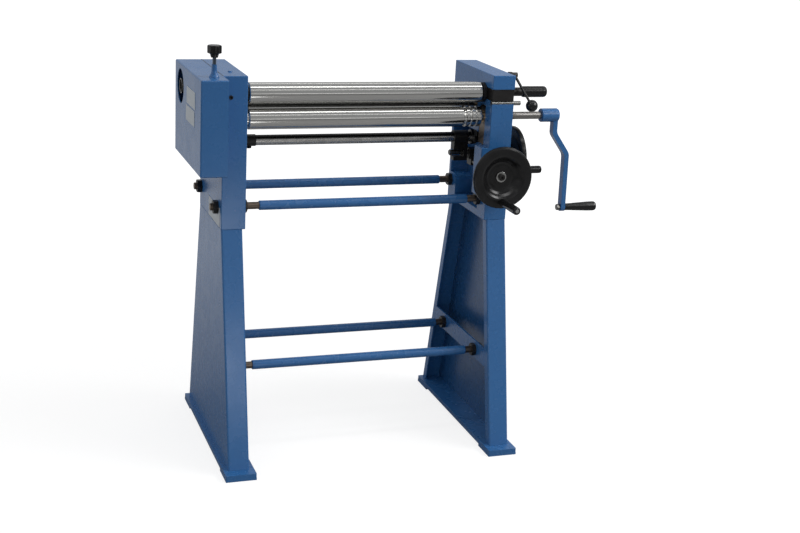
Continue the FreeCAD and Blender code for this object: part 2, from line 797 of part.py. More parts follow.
def ball_bush():
    ball = Part.makeSphere(bush_ball, V(pivot_x, roll_y, lower_z), V(1, 0, 0))
    ball = ball.common(rod_x(pivot_x - 15, pivot_x + 15, roll_y, lower_z, bush_ball + 1))
    return ball.cut(rod_x(pivot_x - 30, pivot_x + 30, roll_y, lower_z,
                          lower_journal + running_gap))


def ball_seat():
    ring = ring_x(pivot_x - 20, pivot_x + 20, roll_y, lower_z, ball_seat_radius,
                  lower_journal + 3)
    centre = V(pivot_x, roll_y, lower_z)
    return ring.cut(Part.makeSphere(bush_ball + running_gap, centre, V(1, 0, 0)))


def lower_block():
    x0 = half_span + 1
    x1 = x0 + lower_block_width
    half = lower_block_half - sliding_gap
    body = block(x0, x1, roll_y - half, roll_y + half, lower_z - lower_block_drop,
                 lower_z + lower_block_height)
    body = body.cut(rod_x(x0 - 1, x1 + 1, roll_y, lower_z, lower_bush_radius))
    x = half_span + lift_stem_depth
    stem = rod_z(wedge_top - 10, lower_z - lower_block_drop + 1, x, roll_y, lift_stem_radius)
    foot_z = wedge_top + contact_gap
    low = wedge_top - 20
    cut = polygon_solid([V(x - 20, roll_y - 20, foot_z + 20 * wedge_slope),
                         V(x + 20, roll_y - 20, foot_z - 20 * wedge_slope),
                         V(x + 20, roll_y - 20, low), V(x - 20, roll_y - 20, low)], V(0, 40, 0))
    return fuse([body, stem]).cut(cut)


def wedge():
    x = half_span + lift_stem_depth
    x0 = half_span + 4
    x1 = half_span + pocket_depth - wedge_travel - 4
    front = roll_y - wedge_half
    low = wedge_top - wedge_height
    body = polygon_solid([V(x0, front, low), V(x1, front, low),
                          V(x1, front, wedge_top - (x1 - x) * wedge_slope),
                          V(x0, front, wedge_top + (x - x0) * wedge_slope)],
                         V(0, 2 * wedge_half, 0))
    return body.cut(rod_x(x0 - 1, x1 + 1, roll_y, side_screw_z, side_screw_radius + running_gap))


parts["lower_ball_bush"] = ball_bush()
parts["lower_ball_seat"] = ball_seat()
parts["lower_bearing_block"] = lower_block()
parts["lower_bearing_bush"] = ring_x(half_span + 1, half_span + 1 + lower_block_width, roll_y,
                                     lower_z, lower_bush_radius, lower_neck + running_gap)
parts["lift_wedge"] = wedge()


def crank_hub():
    length = crank_hub_length
    r = crank_hub_radius
    return turned([(0, 0), (r - 1.5, 0), (r, 1.5), (r, length - 6), (r - 2, length - 2),
                   (r - 6, length), (0, length)], V(crank_hub_left, roll_y, lower_z), V(1, 0, 0))


def crank_arm():
    y = roll_y - crank_arm_width / 2
    half = crank_arm_thickness / 2
    centre = [(arm_top_x, lower_z - 10), (arm_top_x, lower_z - crank_bend_top),
              (arm_low_x - 3, lower_z - crank_bend_bottom), (arm_low_x, crank_z - 12)]
    left = [V(x - half, y, z + s) for (x, z), s in zip(centre, (0, -3, -3, 0))]
    right = [V(x + half, y, z + s) for (x, z), s in zip(centre, (0, 3, 3, 0))]
    body = polygon_solid(left + right[::-1], V(0, crank_arm_width, 0))
    body = fillet_where(body, crank_bend_radius, lambda e: e.BoundBox.XLength < 0.1
                        and e.BoundBox.ZLength < 0.1 and crank_z < e.BoundBox.ZMin < lower_z - 20)
    body = fillet_where(body, crank_arm_width / 2 - 0.5, lambda e: e.BoundBox.ZMax < crank_z - 10
                        and e.BoundBox.YLength < 0.1)
    body = fuse([body, crank_hub()])
    body = body.cut(rod_x(crank_hub_left - 1, crank_hub_left + 11, roll_y, lower_z,
                          crank_shaft_radius))
    return body.cut(rod_x(arm_low_x - 20, arm_low_x + 20, roll_y, crank_z, crank_pin_radius))


def crank_pin():
    x0 = arm_low_x - crank_arm_thickness / 2
    cap = x0 + crank_arm_thickness + crank_grip_length - 2.5
    head_face = x0 - end_gap
    shank = rod_x(head_face - 2, cap + 3, roll_y, crank_z, crank_pin_radius)
    head = hexagon(17, 10, V(head_face - 10, roll_y, crank_z), V(1, 0, 0))
    return fuse([shank, head, rod_x(cap, cap + 3, roll_y, crank_z, 8)])


def crank_grip():
    x0 = arm_low_x + crank_arm_thickness / 2 + end_gap
    length = crank_grip_length
    bore = crank_pin_radius + running_gap
    return turned([(bore, 0), (9.5, 0), (10.3, 3), (10.8, 0.17 * length), (12.3, 0.43 * length),
                   (13.9, 0.72 * length), (14.3, length - 9), (13.6, length - 4),
                   (11.5, length - 1), (8.4, length), (8.4, length - 4), (bore, length - 4)],
                  V(x0, roll_y, crank_z), V(1, 0, 0))


parts["crank_arm"] = crank_arm()
parts["crank_pin"] = crank_pin()
parts["crank_grip"] = crank_grip()


# Rear roll, its blocks and the lift shaft

def rear_roll():
    reach = half_span + rear_block_width - 1
    return fuse([grooved_roll(rear_y, rear_z, 0.0), rod_x(-reach, reach, rear_y, rear_z,
                                                     rear_journal)])


def rear_block(side):
    half = rear_block_half - sliding_gap
    body = side_block(side, 1, 1 + rear_block_width, rear_y - half, rear_y + half,
                      rear_z - rear_block_half, rear_z + rear_block_half)
    foot = shaft_z + lift_nose_radius + contact_gap
    stem = rod_z(foot, rear_z - rear_block_half + 1, side * (half_span + lift_rod_depth), rear_y,
                 lift_rod_radius)
    return fuse([body, stem]).cut(side_rod(side, 0, rear_block_width + 2, rear_y, rear_z,
                                           rear_journal + 3))


def rear_bush(side):
    ring = side_rod(side, 1, 1 + rear_block_width, rear_y, rear_z, rear_journal + 3)
    return ring.cut(side_rod(side, 0, rear_block_width + 2, rear_y, rear_z,
                             rear_journal + running_gap))


def lift_arm_piece(side):
    near = lift_rod_depth - lift_arm_width / 2
    far = near + lift_arm_width
    hub = side_rod(side, near, far, shaft_y, shaft_z, shaft_radius + 7)
    bar = side_block(side, near, far, rear_y, shaft_y, shaft_z - 7, shaft_z + 7)
    nose = side_rod(side, near, far, rear_y, shaft_z, lift_nose_radius)
    return fuse([hub, bar, nose]).cut(side_rod(side, 0, far + 8, shaft_y, shaft_z, shaft_radius))


def lift_lever():
    left = half_span - lever_reach
    right = half_span - 4
    plate_left = right - lever_plate
    front = shaft_y - lever_half
    hub = rod_x(left, right, shaft_y, shaft_z, shaft_radius + 5)
    plate = block(plate_left, right, front, shaft_y + lever_half, pin_z - 22,
                  shaft_z + lever_half)
    lugs = [block(left, plate_left + 1, front, shaft_y + 10, low, high)
            for low, high in ((shaft_z - 38, shaft_z - 12), (pin_z - 22, pin_z - 11))]
    body = fuse([hub, plate] + lugs)
    body = body.cut(rod_x(left - 1, right + 1, shaft_y, shaft_z, shaft_radius))
    half_slot = lever_pin_radius + sliding_gap
    return body.cut(block(left, right + 1, shaft_y - half_slot, shaft_y + half_slot,
                          pin_z - lever_pin_radius - 3, pin_z + lever_pin_radius + 3))


def travel_nut():
    x0 = half_span + nut_near
    x1 = half_span + nut_far
    front = shaft_y - nut_half
    back = shaft_y + nut_half
    head = block(x0, x1, front, back, pin_z - lever_pin_radius - 11, pin_z + 12)
    foot = block(screw_x - screw_radius - 2, x1, front, back, screw_z - 12, pin_z)
    body = fuse([head, foot])
    body = body.cut(rod_y(front - 1, back + 1, screw_x, screw_z, screw_radius + running_gap))
    return body.cut(rod_x(x0 - 1, x1 + 1, shaft_y, pin_z, lever_pin_radius))


def travel_pin():
    left = half_span - 58
    shank = rod_x(left, half_span + nut_far, shaft_y, pin_z, lever_pin_radius)
    head = turned([(0, 0), (6, 0), (9, 2.5), (9, 7), (0, 7)], V(left, shaft_y, pin_z), V(1, 0, 0))
    return fuse([shank, head])


parts["rear_roll"] = rear_roll()
shaft_reach = half_span + pocket_depth + 8
parts["lift_shaft"] = rod_x(-shaft_reach, shaft_reach, shaft_y, shaft_z, shaft_radius)
parts["shaft_collar"] = ring_x(-half_span + 4, -half_span + 61, shaft_y, shaft_z,
                               shaft_radius + shaft_collar_wall, shaft_radius)
parts["lift_lever"] = lift_lever()
parts["travel_nut"] = travel_nut()
parts["travel_pin"] = travel_pin()
parts["lift_arms"] = compound([lift_arm_piece(-1), lift_arm_piece(1)])
parts["rear_blocks"] = compound([rear_block(-1), rear_block(1)])
parts["rear_bushes"] = compound([rear_bush(-1), rear_bush(1)])


# Handwheels

def handwheel(hub_length, centre, axis, grip_at):
    r = wheel_radius
    bolt = wheel_bolt_radius
    face = -wheel_stub_inset
    top = face + wheel_seat
    profile = [(bolt, face), (bolt, top), (15, top), (16, top - 0.5), (16, face), (32, face),
               (38, face - 0.5), (44, face + 1), (50, -13), (56, -6), (61, -1.5), (67, 0),
               (r - 6, 0), (r - 1.5, -1.5), (r, -5), (r, -11), (r - 1.5, -14), (r - 6, -15),
               (66, -15), (60, -20), (52, -27), (44, face - 11), (30, face - 11),
               (22, face - 13), (20, face - 16), (20, -hub_length), (wheel_bore, -hub_length),
               (wheel_bore, face)]
    body = turned(profile, centre, axis)
    return body.cut(Part.makeCylinder(grip_bolt_radius, 40, grip_at - axis * 30, axis))


def wheel_bolt(centre, axis):
    seat = wheel_seat - wheel_stub_inset
    shank = Part.makeCylinder(wheel_bolt_radius, 14, centre + axis * (seat - 14), axis)
    head = turned([(0, seat), (9.5, seat), (9.5, seat + 7), (8.5, seat + 8), (0, seat + 8)],
                  centre, axis)
    socket = hexagon(8, 5, centre + axis * (seat + 3.5), axis)
    return fuse([shank, head]).cut(socket)


def wheel_grip(at, axis):
    r = grip_radius
    n = grip_length
    bore = grip_bolt_radius + running_gap
    points = [(bore, 1), (r - 2.5, 1), (r - 1, 4), (r - 0.5, 0.28 * n), (r, 0.65 * n), (r, n - 5),
              (r - 1.5, n - 1.5), (r - 4, n), (6.5, n), (6.5, n - 4), (bore, n - 4)]
    return turned(points, at, axis)


def grip_bolt(at, axis):
    shank = Part.makeCylinder(grip_bolt_radius, grip_length + 11.5, at - axis * 15, axis)
    head = turned([(0, grip_length - 3.8), (6, grip_length - 3.8), (6, grip_length - 1.2),
                   (5, grip_length - 0.2), (0, grip_length - 0.2)], at, axis)
    return fuse([shank, head])


front_axis = V(0, -1, 0)
front_centre = V(screw_x, front_wheel_face, screw_z)
angle = math.radians(front_grip_angle)
front_grip_at = front_centre + V(grip_circle * math.cos(angle), 0, grip_circle * math.sin(angle))
side_axis = V(1, 0, 0)
side_centre = V(side_wheel_face, roll_y, side_screw_z)
angle = math.radians(side_grip_angle)
side_grip_at = side_centre + V(0, grip_circle * math.cos(angle), grip_circle * math.sin(angle))

for name, centre, axis, grip_at, hub_length in (
        ("front", front_centre, front_axis, front_grip_at,
         frame_front - front_wheel_face - wheel_gap),
        ("side", side_centre, side_axis, side_grip_at, side_wheel_face - outer_face - wheel_gap)):
    parts[name + "_wheel"] = handwheel(hub_length, centre, axis, grip_at)
    parts[name + "_wheel_bolt"] = wheel_bolt(centre, axis)
    parts[name + "_wheel_grip"] = wheel_grip(grip_at, axis)
    parts[name + "_grip_bolt"] = grip_bolt(grip_at, axis)


def front_screw():
    stub = rod_y(front_wheel_face + wheel_stub_inset, frame_front, screw_x, screw_z, wheel_bore)
    thread = rod_y(frame_front - wheel_gap / 2, shaft_y + screw_reach, screw_x, screw_z,
                   screw_radius)
    collar = rod_y(pocket_front + 0.3, pocket_front + 5, screw_x, screw_z, screw_radius + 4)
    body = fuse([stub, thread, collar])
    hole_end = front_centre - front_axis * (wheel_stub_inset + 11.5)
    return body.cut(Part.makeCylinder(wheel_bolt_radius, 12, hole_end, front_axis))


def side_screw():
    stub = rod_x(outer_face + wheel_gap / 2, side_wheel_face - wheel_stub_inset, roll_y,
                 side_screw_z, wheel_bore)
    thread = rod_x(half_span + 3, outer_face + 2, roll_y, side_screw_z, side_screw_radius)
    collar_right = half_span + pocket_depth - 0.3
    collar = rod_x(collar_right - 3.4, collar_right, roll_y, side_screw_z, side_screw_radius + 4)
    body = fuse([stub, thread, collar])
    hole_end = side_centre - side_axis * (wheel_stub_inset + 11.5)
    return body.cut(Part.makeCylinder(wheel_bolt_radius, 12, hole_end, side_axis))


parts["front_screw"] = front_screw()
parts["side_screw"] = side_screw()

# Move the machine so that the origin is the centre of its outline on the floor, then save
outline = compound(list(parts.values())).BoundBox
shift = V(-outline.Center.x, -outline.Center.y, 0)
os.makedirs("parts", exist_ok=True)
for name, shape in parts.items():
    shape.translate(shift)
    shape.exportStep("parts/" + name + ".step")
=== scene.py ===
import json
import math

import bpy
from mathutils import Matrix, Vector


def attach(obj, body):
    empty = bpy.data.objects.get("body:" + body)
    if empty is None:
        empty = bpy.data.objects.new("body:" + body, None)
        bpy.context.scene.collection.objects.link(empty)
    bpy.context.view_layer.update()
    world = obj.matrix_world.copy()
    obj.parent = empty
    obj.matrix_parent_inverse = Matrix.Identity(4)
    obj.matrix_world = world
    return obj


# A slip roll machine in a pale studio. Lengths are in metres, in the same frame as the solids.

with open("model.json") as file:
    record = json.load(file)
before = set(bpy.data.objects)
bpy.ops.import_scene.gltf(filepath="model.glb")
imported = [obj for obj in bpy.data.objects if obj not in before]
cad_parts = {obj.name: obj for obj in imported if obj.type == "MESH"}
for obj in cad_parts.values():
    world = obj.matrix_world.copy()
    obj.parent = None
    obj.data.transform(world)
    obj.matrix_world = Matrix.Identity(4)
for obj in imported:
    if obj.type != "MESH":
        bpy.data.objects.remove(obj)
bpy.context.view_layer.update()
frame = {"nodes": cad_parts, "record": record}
nodes = frame["nodes"]

# Camera of the photograph
CAMERA_PLACE = Vector((-1.3122, -3.7001, 1.6834))
CAMERA_YAW = math.radians(19.881)
CAMERA_PITCH = math.radians(-16.679)
CAMERA_ROLL = math.radians(3.097)
LENS = 61.62
SENSOR = 36.0

# Levels of the room and of the floor
ROOM_TINT = (0.97, 0.985, 1.0, 1)
ROOM_FRONT = 0.36
ROOM_BACK = 0.50
FLOOR_NEAR = 0.80
FLOOR_SHINE_FRONT = 0.04
FLOOR_SHINE_BACK = 0.40

# Colours, linear
BLUE = (0.031, 0.133, 0.340, 1)
BLUE_WORN = (0.16, 0.28, 0.45, 1)
BLACK = (0.006, 0.006, 0.0065, 1)
BLACK_OXIDE = (0.011, 0.0098, 0.0095, 1)
STEEL = (0.60, 0.595, 0.575, 1)
DULL_STEEL = (0.20, 0.195, 0.185, 1)
BRONZE = (0.42, 0.27, 0.12, 1)
PLATE = (0.46, 0.51, 0.56, 1)

# Places on the solids that the finishes and small pieces follow
MACHINE_MIDDLE = -0.12485
RIGHT_SIDE = 0.26
ROLL_NECK = 0.236
FRAME_TOP = 1.1
SEAM_X = MACHINE_MIDDLE - 0.4235
SEAM_FRONT = -0.130
SEAM_BACK = 0.166
COLLAR_SCREW = (MACHINE_MIDDLE - 0.3125, 0.033, 0.8745)
UPPER_RODS = ((-0.082, 0.730), (0.148, 0.734))

# Threads of the upper rods: start from the machine's middle, direction, number of ridges
THREAD_RUNS = ((-0.4377, -1, 3), (0.4377, 1, 3), (-0.3420, 1, 13), (0.3160, 1, 10))
THREAD_RADIUS = 0.0099
THREAD_PITCH = 0.0025
RIB_START = 0.0715
RIB_PITCH = 0.0048
RIB_COUNT = 13
RIDGE_HEIGHT = 0.0004

# Washers under the handwheels' bolts; the drop is from the head's top to the seat
WASHER_DROP = 0.0081
WASHER_INNER = 0.0097
WASHER_OUTER = 0.0153
WASHER_HEIGHT = 0.0012

# Lamps: name, place, what it points at, size, power
LAMPS = (
    ("top_strip", (0.5, -0.82, 3.8), (0.5, -0.82, 0), (7.0, 0.37), 30),
    ("back_strip", (0.5, 1.96, 3.8), (0.5, 0.2, 1.0), (7.0, 0.27), 10),
    ("high_front_strip", (0.5, -3.07, 3.8), (0.5, -0.3, 1.0), (7.0, 0.30), 8),
    ("low_front_panel", (1.55, -6.0, 1.25), (0, 0, 1.0), (1.5, 0.7), 2.2),
    ("left_light", (-4.0, 0.0, 1.5), (0, 0, 0.7), (2.5, 2.0), 13),
    ("front_right_light", (3.0, -2.8, 3.0), (0, 0, 0.7), (1.6, 1.6), 45),
    ("top_right_light", (3.6, -1.4, 3.6), (0, 0, 0.7), (2.0, 2.0), 75),
    ("low_left_light", (-0.35, -1.2, 0.34), (-0.42, -0.2, 0.38), (0.4, 0.3), 0.9),
)


def shade(colour, amount):
    """The same colour, darker or lighter."""
    return tuple(c * amount for c in colour[:3]) + (1,)


# Node helpers

class Nodes:
    """Short ways to add shader nodes to one material."""

    def __init__(self, name):
        self.material = bpy.data.materials.new(name)
        self.material.use_nodes = True
        self.tree = self.material.node_tree
        self.shader = self.tree.nodes["Principled BSDF"]
        self.texture = self.add("ShaderNodeTexCoord")
        self.place = self.texture.outputs["Object"]

    def add(self, kind, **settings):
        node = self.tree.nodes.new(kind)
        for key, value in settings.items():
            setattr(node, key, value)
        return node

    def link(self, source, target):
        self.tree.links.new(source, target)

    def split(self, vector, axis):
        node = self.add("ShaderNodeSeparateXYZ")
        self.link(vector, node.inputs["Vector"])
        return node.outputs[axis]

    def stretched(self, scale):
        node = self.add("ShaderNodeMapping")
        node.inputs["Scale"].default_value = scale
        self.link(self.place, node.inputs["Vector"])
        return node.outputs["Vector"]

    def noise(self, scale, detail, vector=None):
        node = self.add("ShaderNodeTexNoise")
        node.inputs["Scale"].default_value = scale
        node.inputs["Detail"].default_value = detail
        self.link(vector or self.place, node.inputs["Vector"])
        return node.outputs["Fac"]

    def ramp(self, value, low, high, first=0.0, last=1.0):
        node = self.add("ShaderNodeMapRange")
        node.inputs["From Min"].default_value = low
        node.inputs["From Max"].default_value = high
        node.inputs["To Min"].default_value = first
        node.inputs["To Max"].default_value = last
        self.link(value, node.inputs["Value"])
        return node.outputs["Result"]

    def mix(self, amount, first, second):
        node = self.add("ShaderNodeMix", data_type="RGBA")
        self.link(amount, node.inputs["Factor"])
        for socket, value in (("A", first), ("B", second)):
            target = [s for s in node.inputs if s.name == socket and s.type == "RGBA"][0]
            if isinstance(value, tuple):
                target.default_value = value
            else:
                self.link(value, target)
        return [s for s in node.outputs if s.type == "RGBA"][0]

    def math(self, operation, first, second):
        node = self.add("ShaderNodeMath", operation=operation)
        self.link(first, node.inputs[0])
        if isinstance(second, float):
            node.inputs[1].default_value = second
        else:
            self.link(second, node.inputs[1])
        return node.outputs["Value"]

    def times(self, first, second):
        return self.math("MULTIPLY", first, second)

    def edges(self, radius):
        """1 on edges narrower than the radius, 0 on flat faces."""
        bevel = self.add("ShaderNodeBevel", samples=4)
        bevel.inputs["Radius"].default_value = radius
        geometry = self.add("ShaderNodeNewGeometry")
        dot = self.add("ShaderNodeVectorMath", operation="DOT_PRODUCT")
        self.link(bevel.outputs["Normal"], dot.inputs[0])
        self.link(geometry.outputs["Normal"], dot.inputs[1])
        return self.ramp(dot.outputs["Value"], 0.98, 0.8)

    def bump(self, height, strength, distance, soft_edge=0.0):
        node = self.add("ShaderNodeBump")
        node.inputs["Strength"].default_value = strength
        node.inputs["Distance"].default_value = distance
        self.link(height, node.inputs["Height"])
        if soft_edge:
            bevel = self.add("ShaderNodeBevel", samples=4)
            bevel.inputs["Radius"].default_value = soft_edge
            self.link(bevel.outputs["Normal"], node.inputs["Normal"])
        self.link(node.outputs["Normal"], self.shader.inputs["Normal"])

    def colour(self, value):
        self.link(value, self.shader.inputs["Base Color"])

    def roughness(self, value):
        self.link(value, self.shader.inputs["Roughness"])

    def set(self, **values):
        for key, value in values.items():
            self.shader.inputs[key.replace("_", " ")].default_value = value


# Materials

def blue_enamel(name, recess=None):
    """Gloss machine enamel: faint orange peel, a little wear and grime on its edges.

    Faces that look back along X from beyond the recess get painted shade: a darker blue
    standing in for the shadow on the inside walls.
    """
    n = Nodes(name)
    broad = n.ramp(n.noise(5.0, 4.0), 0.35, 0.7)
    base = n.mix(broad, BLUE, shade(BLUE, 1.03))
    if recess is not None:
        # Painted shade: inner walls facing back along X are darkened to stand in for their
        # shadow.
        facing = n.split(n.texture.outputs["Normal"], "X")
        beyond = n.ramp(n.split(n.place, "X"), recess, recess + 0.002)
        inside = n.times(n.ramp(facing, -0.4, -0.6), beyond)
        base = n.mix(inside, base, shade(BLUE, 0.7))
    worn = n.times(n.edges(0.0010), n.ramp(n.noise(90.0, 4.0), 0.50, 0.64))
    n.colour(n.mix(n.times(worn, 0.5), base, BLUE_WORN))
    n.roughness(n.ramp(n.noise(22.0, 3.0), 0.3, 0.7, 0.24, 0.30))
    n.bump(n.noise(200.0, 2.0), 0.01, 0.0003, soft_edge=0.0012)
    return n.material


def ground_steel(name, colour=STEEL, rough=0.12, neck=None):
    """Ground bar: fine marks round the roll, faint smears, and a duller neck past one end."""
    n = Nodes(name)
    marks = n.noise(1.0, 4.0, n.stretched((700.0, 3.0, 3.0)))
    dirt = n.ramp(n.noise(9.0, 5.0), 0.45, 0.75)
    tone = n.mix(n.times(dirt, n.ramp(marks, 0.3, 0.7)), colour, shade(colour, 0.94))
    finish = n.ramp(marks, 0.3, 0.7, rough, rough + 0.03)
    if neck is not None:
        past = n.ramp(n.split(n.place, "X"), neck, neck + 0.002)
        tone = n.mix(past, tone, (0.27, 0.26, 0.25, 1))
        finish = n.math("ADD", finish, n.times(past, 0.16))
    n.colour(tone)
    n.roughness(finish)
    n.bump(marks, 0.008, 0.0001, soft_edge=0.0006)
    n.set(Metallic=1.0)
    return n.material


def plain_steel(name, colour=DULL_STEEL, rough=0.3, shaded_top=False):
    """Turned or drawn steel with faint blotches, and painted shade darkening its upward faces
    if asked.
    """
    n = Nodes(name)
    blotch = n.ramp(n.noise(60.0, 5.0), 0.4, 0.72)
    tone = n.mix(blotch, colour, shade(colour, 0.75))
    if shaded_top:
        # Painted shade: upward faces near black, standing in for the shade under the rolls.
        top_shade = n.ramp(n.split(n.texture.outputs["Normal"], "Z"), 0.2, 0.5)
        tone = n.mix(top_shade, tone, (0.03, 0.03, 0.03, 1))
    n.colour(tone)
    n.roughness(n.ramp(n.noise(160.0, 3.0), 0.3, 0.7, rough - 0.06, rough + 0.1))
    n.bump(n.noise(400.0, 2.0), 0.02, 0.0002, soft_edge=0.0006)
    n.set(Metallic=1.0)
    return n.material


def blackened(name):
    """Oil blackened steel, bare grey where edges have rubbed."""
    n = Nodes(name)
    rubbed = n.times(n.edges(0.0008), n.ramp(n.noise(120.0, 4.0), 0.48, 0.64))
    n.colour(n.mix(rubbed, BLACK_OXIDE, (0.10, 0.096, 0.09, 1)))
    n.roughness(n.ramp(n.noise(45.0, 4.0), 0.3, 0.7, 0.3, 0.45))
    n.bump(n.noise(400.0, 3.0), 0.1, 0.0003, soft_edge=0.0007)
    n.set(Specular_IOR_Level=0.4)
    return n.material


def black_moulding(name):
    """Moulded black plastic with a soft gloss, finger marks and fine scuffs."""
    n = Nodes(name)
    marks = n.ramp(n.noise(35.0, 5.0), 0.4, 0.72)
    n.colour(n.mix(marks, BLACK, (0.010, 0.010, 0.0105, 1)))
    n.roughness(n.ramp(n.noise(24.0, 5.0), 0.32, 0.7, 0.16, 0.28))
    n.bump(n.noise(900.0, 2.0), 0.05, 0.0002, soft_edge=0.0008)
    n.set(Specular_IOR_Level=0.4)
    return n.material


def bronze(name):
    """Bearing bronze, darker in blotches where it has tarnished."""
    n = Nodes(name)
    n.colour(n.mix(n.ramp(n.noise(70.0, 5.0), 0.4, 0.7), BRONZE, (0.24, 0.15, 0.07, 1)))
    n.roughness(n.ramp(n.noise(150.0, 3.0), 0.3, 0.7, 0.28, 0.42))
    n.bump(n.noise(600.0, 2.0), 0.12, 0.0002, soft_edge=0.0006)
    n.set(Metallic=1.0)
    return n.material


def plate(name):
    """Thin pale plate, rubbed along its length."""
    n = Nodes(name)
    rub = n.noise(1.0, 4.0, n.stretched((8.0, 12.0, 900.0)))
    n.colour(n.mix(n.ramp(rub, 0.3, 0.7), PLATE, shade(PLATE, 0.86)))
    n.roughness(n.ramp(rub, 0.3, 0.7, 0.3, 0.42))
    n.bump(rub, 0.1, 0.0002)
    return n.material


def studio_floor(name):
    """Pale floor that photographs white and still takes the machine's shadow."""
    n = Nodes(name)
    faint = n.ramp(n.noise(1.5, 3.0), 0.2, 0.8)
    n.colour(n.mix(faint, (0.29, 0.29, 0.29, 1), (0.30, 0.30, 0.30, 1)))
    n.set(Roughness=0.9, Specular_IOR_Level=0.0)
    output = n.tree.nodes["Material Output"]
    glow = n.add("ShaderNodeEmission")
    glow.inputs["Color"].default_value = (1, 1, 1, 1)
    rays = n.add("ShaderNodeLightPath")
    away = n.add("ShaderNodeVectorMath", operation="LENGTH")
    n.link(n.place, away.inputs[0])
    white = n.times(rays.outputs["Is Camera Ray"],
                    n.ramp(away.outputs["Value"], 1.2, 4.0, FLOOR_NEAR, 1.0))
    pale = n.ramp(n.split(n.place, "Y"), 0.3, 2.0, FLOOR_SHINE_FRONT, FLOOR_SHINE_BACK)
    mirrored = n.math("MAXIMUM", rays.outputs["Is Glossy Ray"],
                      rays.outputs["Is Transmission Ray"])
    level = n.math("MAXIMUM", white, n.times(mirrored, pale))
    n.link(level, glow.inputs["Strength"])
    both = n.add("ShaderNodeAddShader")
    n.link(n.shader.outputs["BSDF"], both.inputs[0])
    n.link(glow.outputs["Emission"], both.inputs[1])
    n.link(both.outputs["Shader"], output.inputs["Surface"])
    return n.material


finishes = {
    "blue_paint": blue_enamel("blue_enamel"),
    "bright_steel": ground_steel("ground_steel"),
    "plain_steel": plain_steel("plain_steel"),
    "gear_steel": plain_steel("gear_steel", (0.16, 0.155, 0.145, 1), 0.34),
    "black_plastic": black_moulding("black_moulding"),
    "black_steel": blackened("blackened_steel"),
    "bronze": bronze("bearing_bronze"),
    "label": plate("bare_plate"),
}

# Nodes whose finish differs from that of their slot
# The right leg and frame get painted shade on their inner walls.
shaded_inside_blue = blue_enamel("blue_enamel_shaded_walls", RIGHT_SIDE)
dark_steel = plain_steel("dark_steel", (0.07, 0.068, 0.065, 1), 0.3)
bright_steel = plain_steel("polished_heads", (0.5, 0.5, 0.49, 1), 0.2)
brown_steel = plain_steel("stained_steel", (0.17, 0.135, 0.11, 1), 0.36)
special = {
    "right_leg": shaded_inside_blue,
    "right_frame": shaded_inside_blue,
    # Lift shaft with painted shade on its top.
    "lift_shaft": plain_steel("shaft_steel", (0.55, 0.54, 0.52, 1), 0.24, True),
    "lower_roll": ground_steel("ground_steel_necked", neck=ROLL_NECK),
    "clamp_lever": dark_steel,
    "window_sleeve": plain_steel("sleeve_steel", (0.20, 0.20, 0.20, 1), 0.25),
    # Rear roll darkened as painted shade for the shadow it sits in behind the pinch rolls.
    "rear_roll": ground_steel("shaded_roll_steel", (0.14, 0.14, 0.135, 1), 0.2),
    "knob_spindle": plain_steel("spindle_steel", (0.10, 0.125, 0.16, 1), 0.3),
    "slot_bar": plain_steel("drawn_bar", (0.3, 0.3, 0.29, 1), 0.28),
    "front_grip_bolt": bright_steel,
    "side_grip_bolt": bright_steel,
    "rod_studs": brown_steel,
    "lower_bearing_block": brown_steel,
    "oil_plug": finishes["blue_paint"],
}


def finish_for(node):
    if node in special:
        return special[node]
    for subpart in frame["record"]["subparts"]:
        if subpart["node"] == node:
            return finishes[subpart["material_slot"]]
    return finishes["plain_steel"]


for name, node in nodes.items():
    node.data.materials.clear()
    node.data.materials.append(finish_for(name))


# Small pieces that the solids leave plain

def turned_rows(profile, centre, axis, steps):
    """Corners and faces of a closed ring; the profile holds (radius, height) pairs."""
    turn = Vector((0, 0, 1)).rotation_difference(Vector(axis)).to_matrix()
    corners = []
    faces = []
    count = len(profile)
    for step in range(steps):
        angle = 2 * math.pi * step / steps
        for radius, height in profile:
            point = Vector((radius * math.cos(angle), radius * math.sin(angle), height))
            corners.append(Vector(centre) + turn @ point)
    for step in range(steps):
        here = step * count
        after = (step + 1) % steps * count
        for k in range(count):
            m = (k + 1) % count
            faces.append((here + k, after + k, after + m, here + m))
    return corners, faces


def add_piece(name, chunks, material, body):
    """One mesh from several (corners, faces) chunks, carried by one body."""
    corners = []
    faces = []
    for points, sides in chunks:
        start = len(corners)
        corners += points
        faces += [tuple(start + k for k in side) for side in sides]
    mesh = bpy.data.meshes.new(name)
    mesh.from_pydata([tuple(c) for c in corners], [], faces)
    mesh.validate()
    mesh.materials.append(material)
    piece = bpy.data.objects.new(name, mesh)
    bpy.context.scene.collection.objects.link(piece)
    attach(piece, body)


def washer(centre, axis, inner, outer, height):
    """Flat ring with its upper edges broken."""
    edge = 0.0003
    profile = [(inner, 0), (outer, 0), (outer, height - edge), (outer - edge, height),
               (inner + edge, height), (inner, height - edge)]
    return turned_rows(profile, centre, axis, 64)


def ridges(start, axis, radius, pitch, count):
    """Rings with a sloped outline, one after another along an axis."""
    chunks = []
    half = pitch * 0.42
    foot = radius - 0.0002
    crest = radius + RIDGE_HEIGHT
    profile = [(foot, -half), (crest, -half * 0.3), (crest, half * 0.3), (foot, half)]
    for k in range(count):
        base = Vector(start) + Vector(axis) * (pitch * (k + 0.5))
        chunks.append(turned_rows(profile, base, axis, 40))
    return chunks


def box_span(node):
    points = [node.matrix_world @ Vector(corner) for corner in node.bound_box]
    low = Vector([min(p[k] for p in points) for k in range(3)])
    high = Vector([max(p[k] for p in points) for k in range(3)])
    return low, high


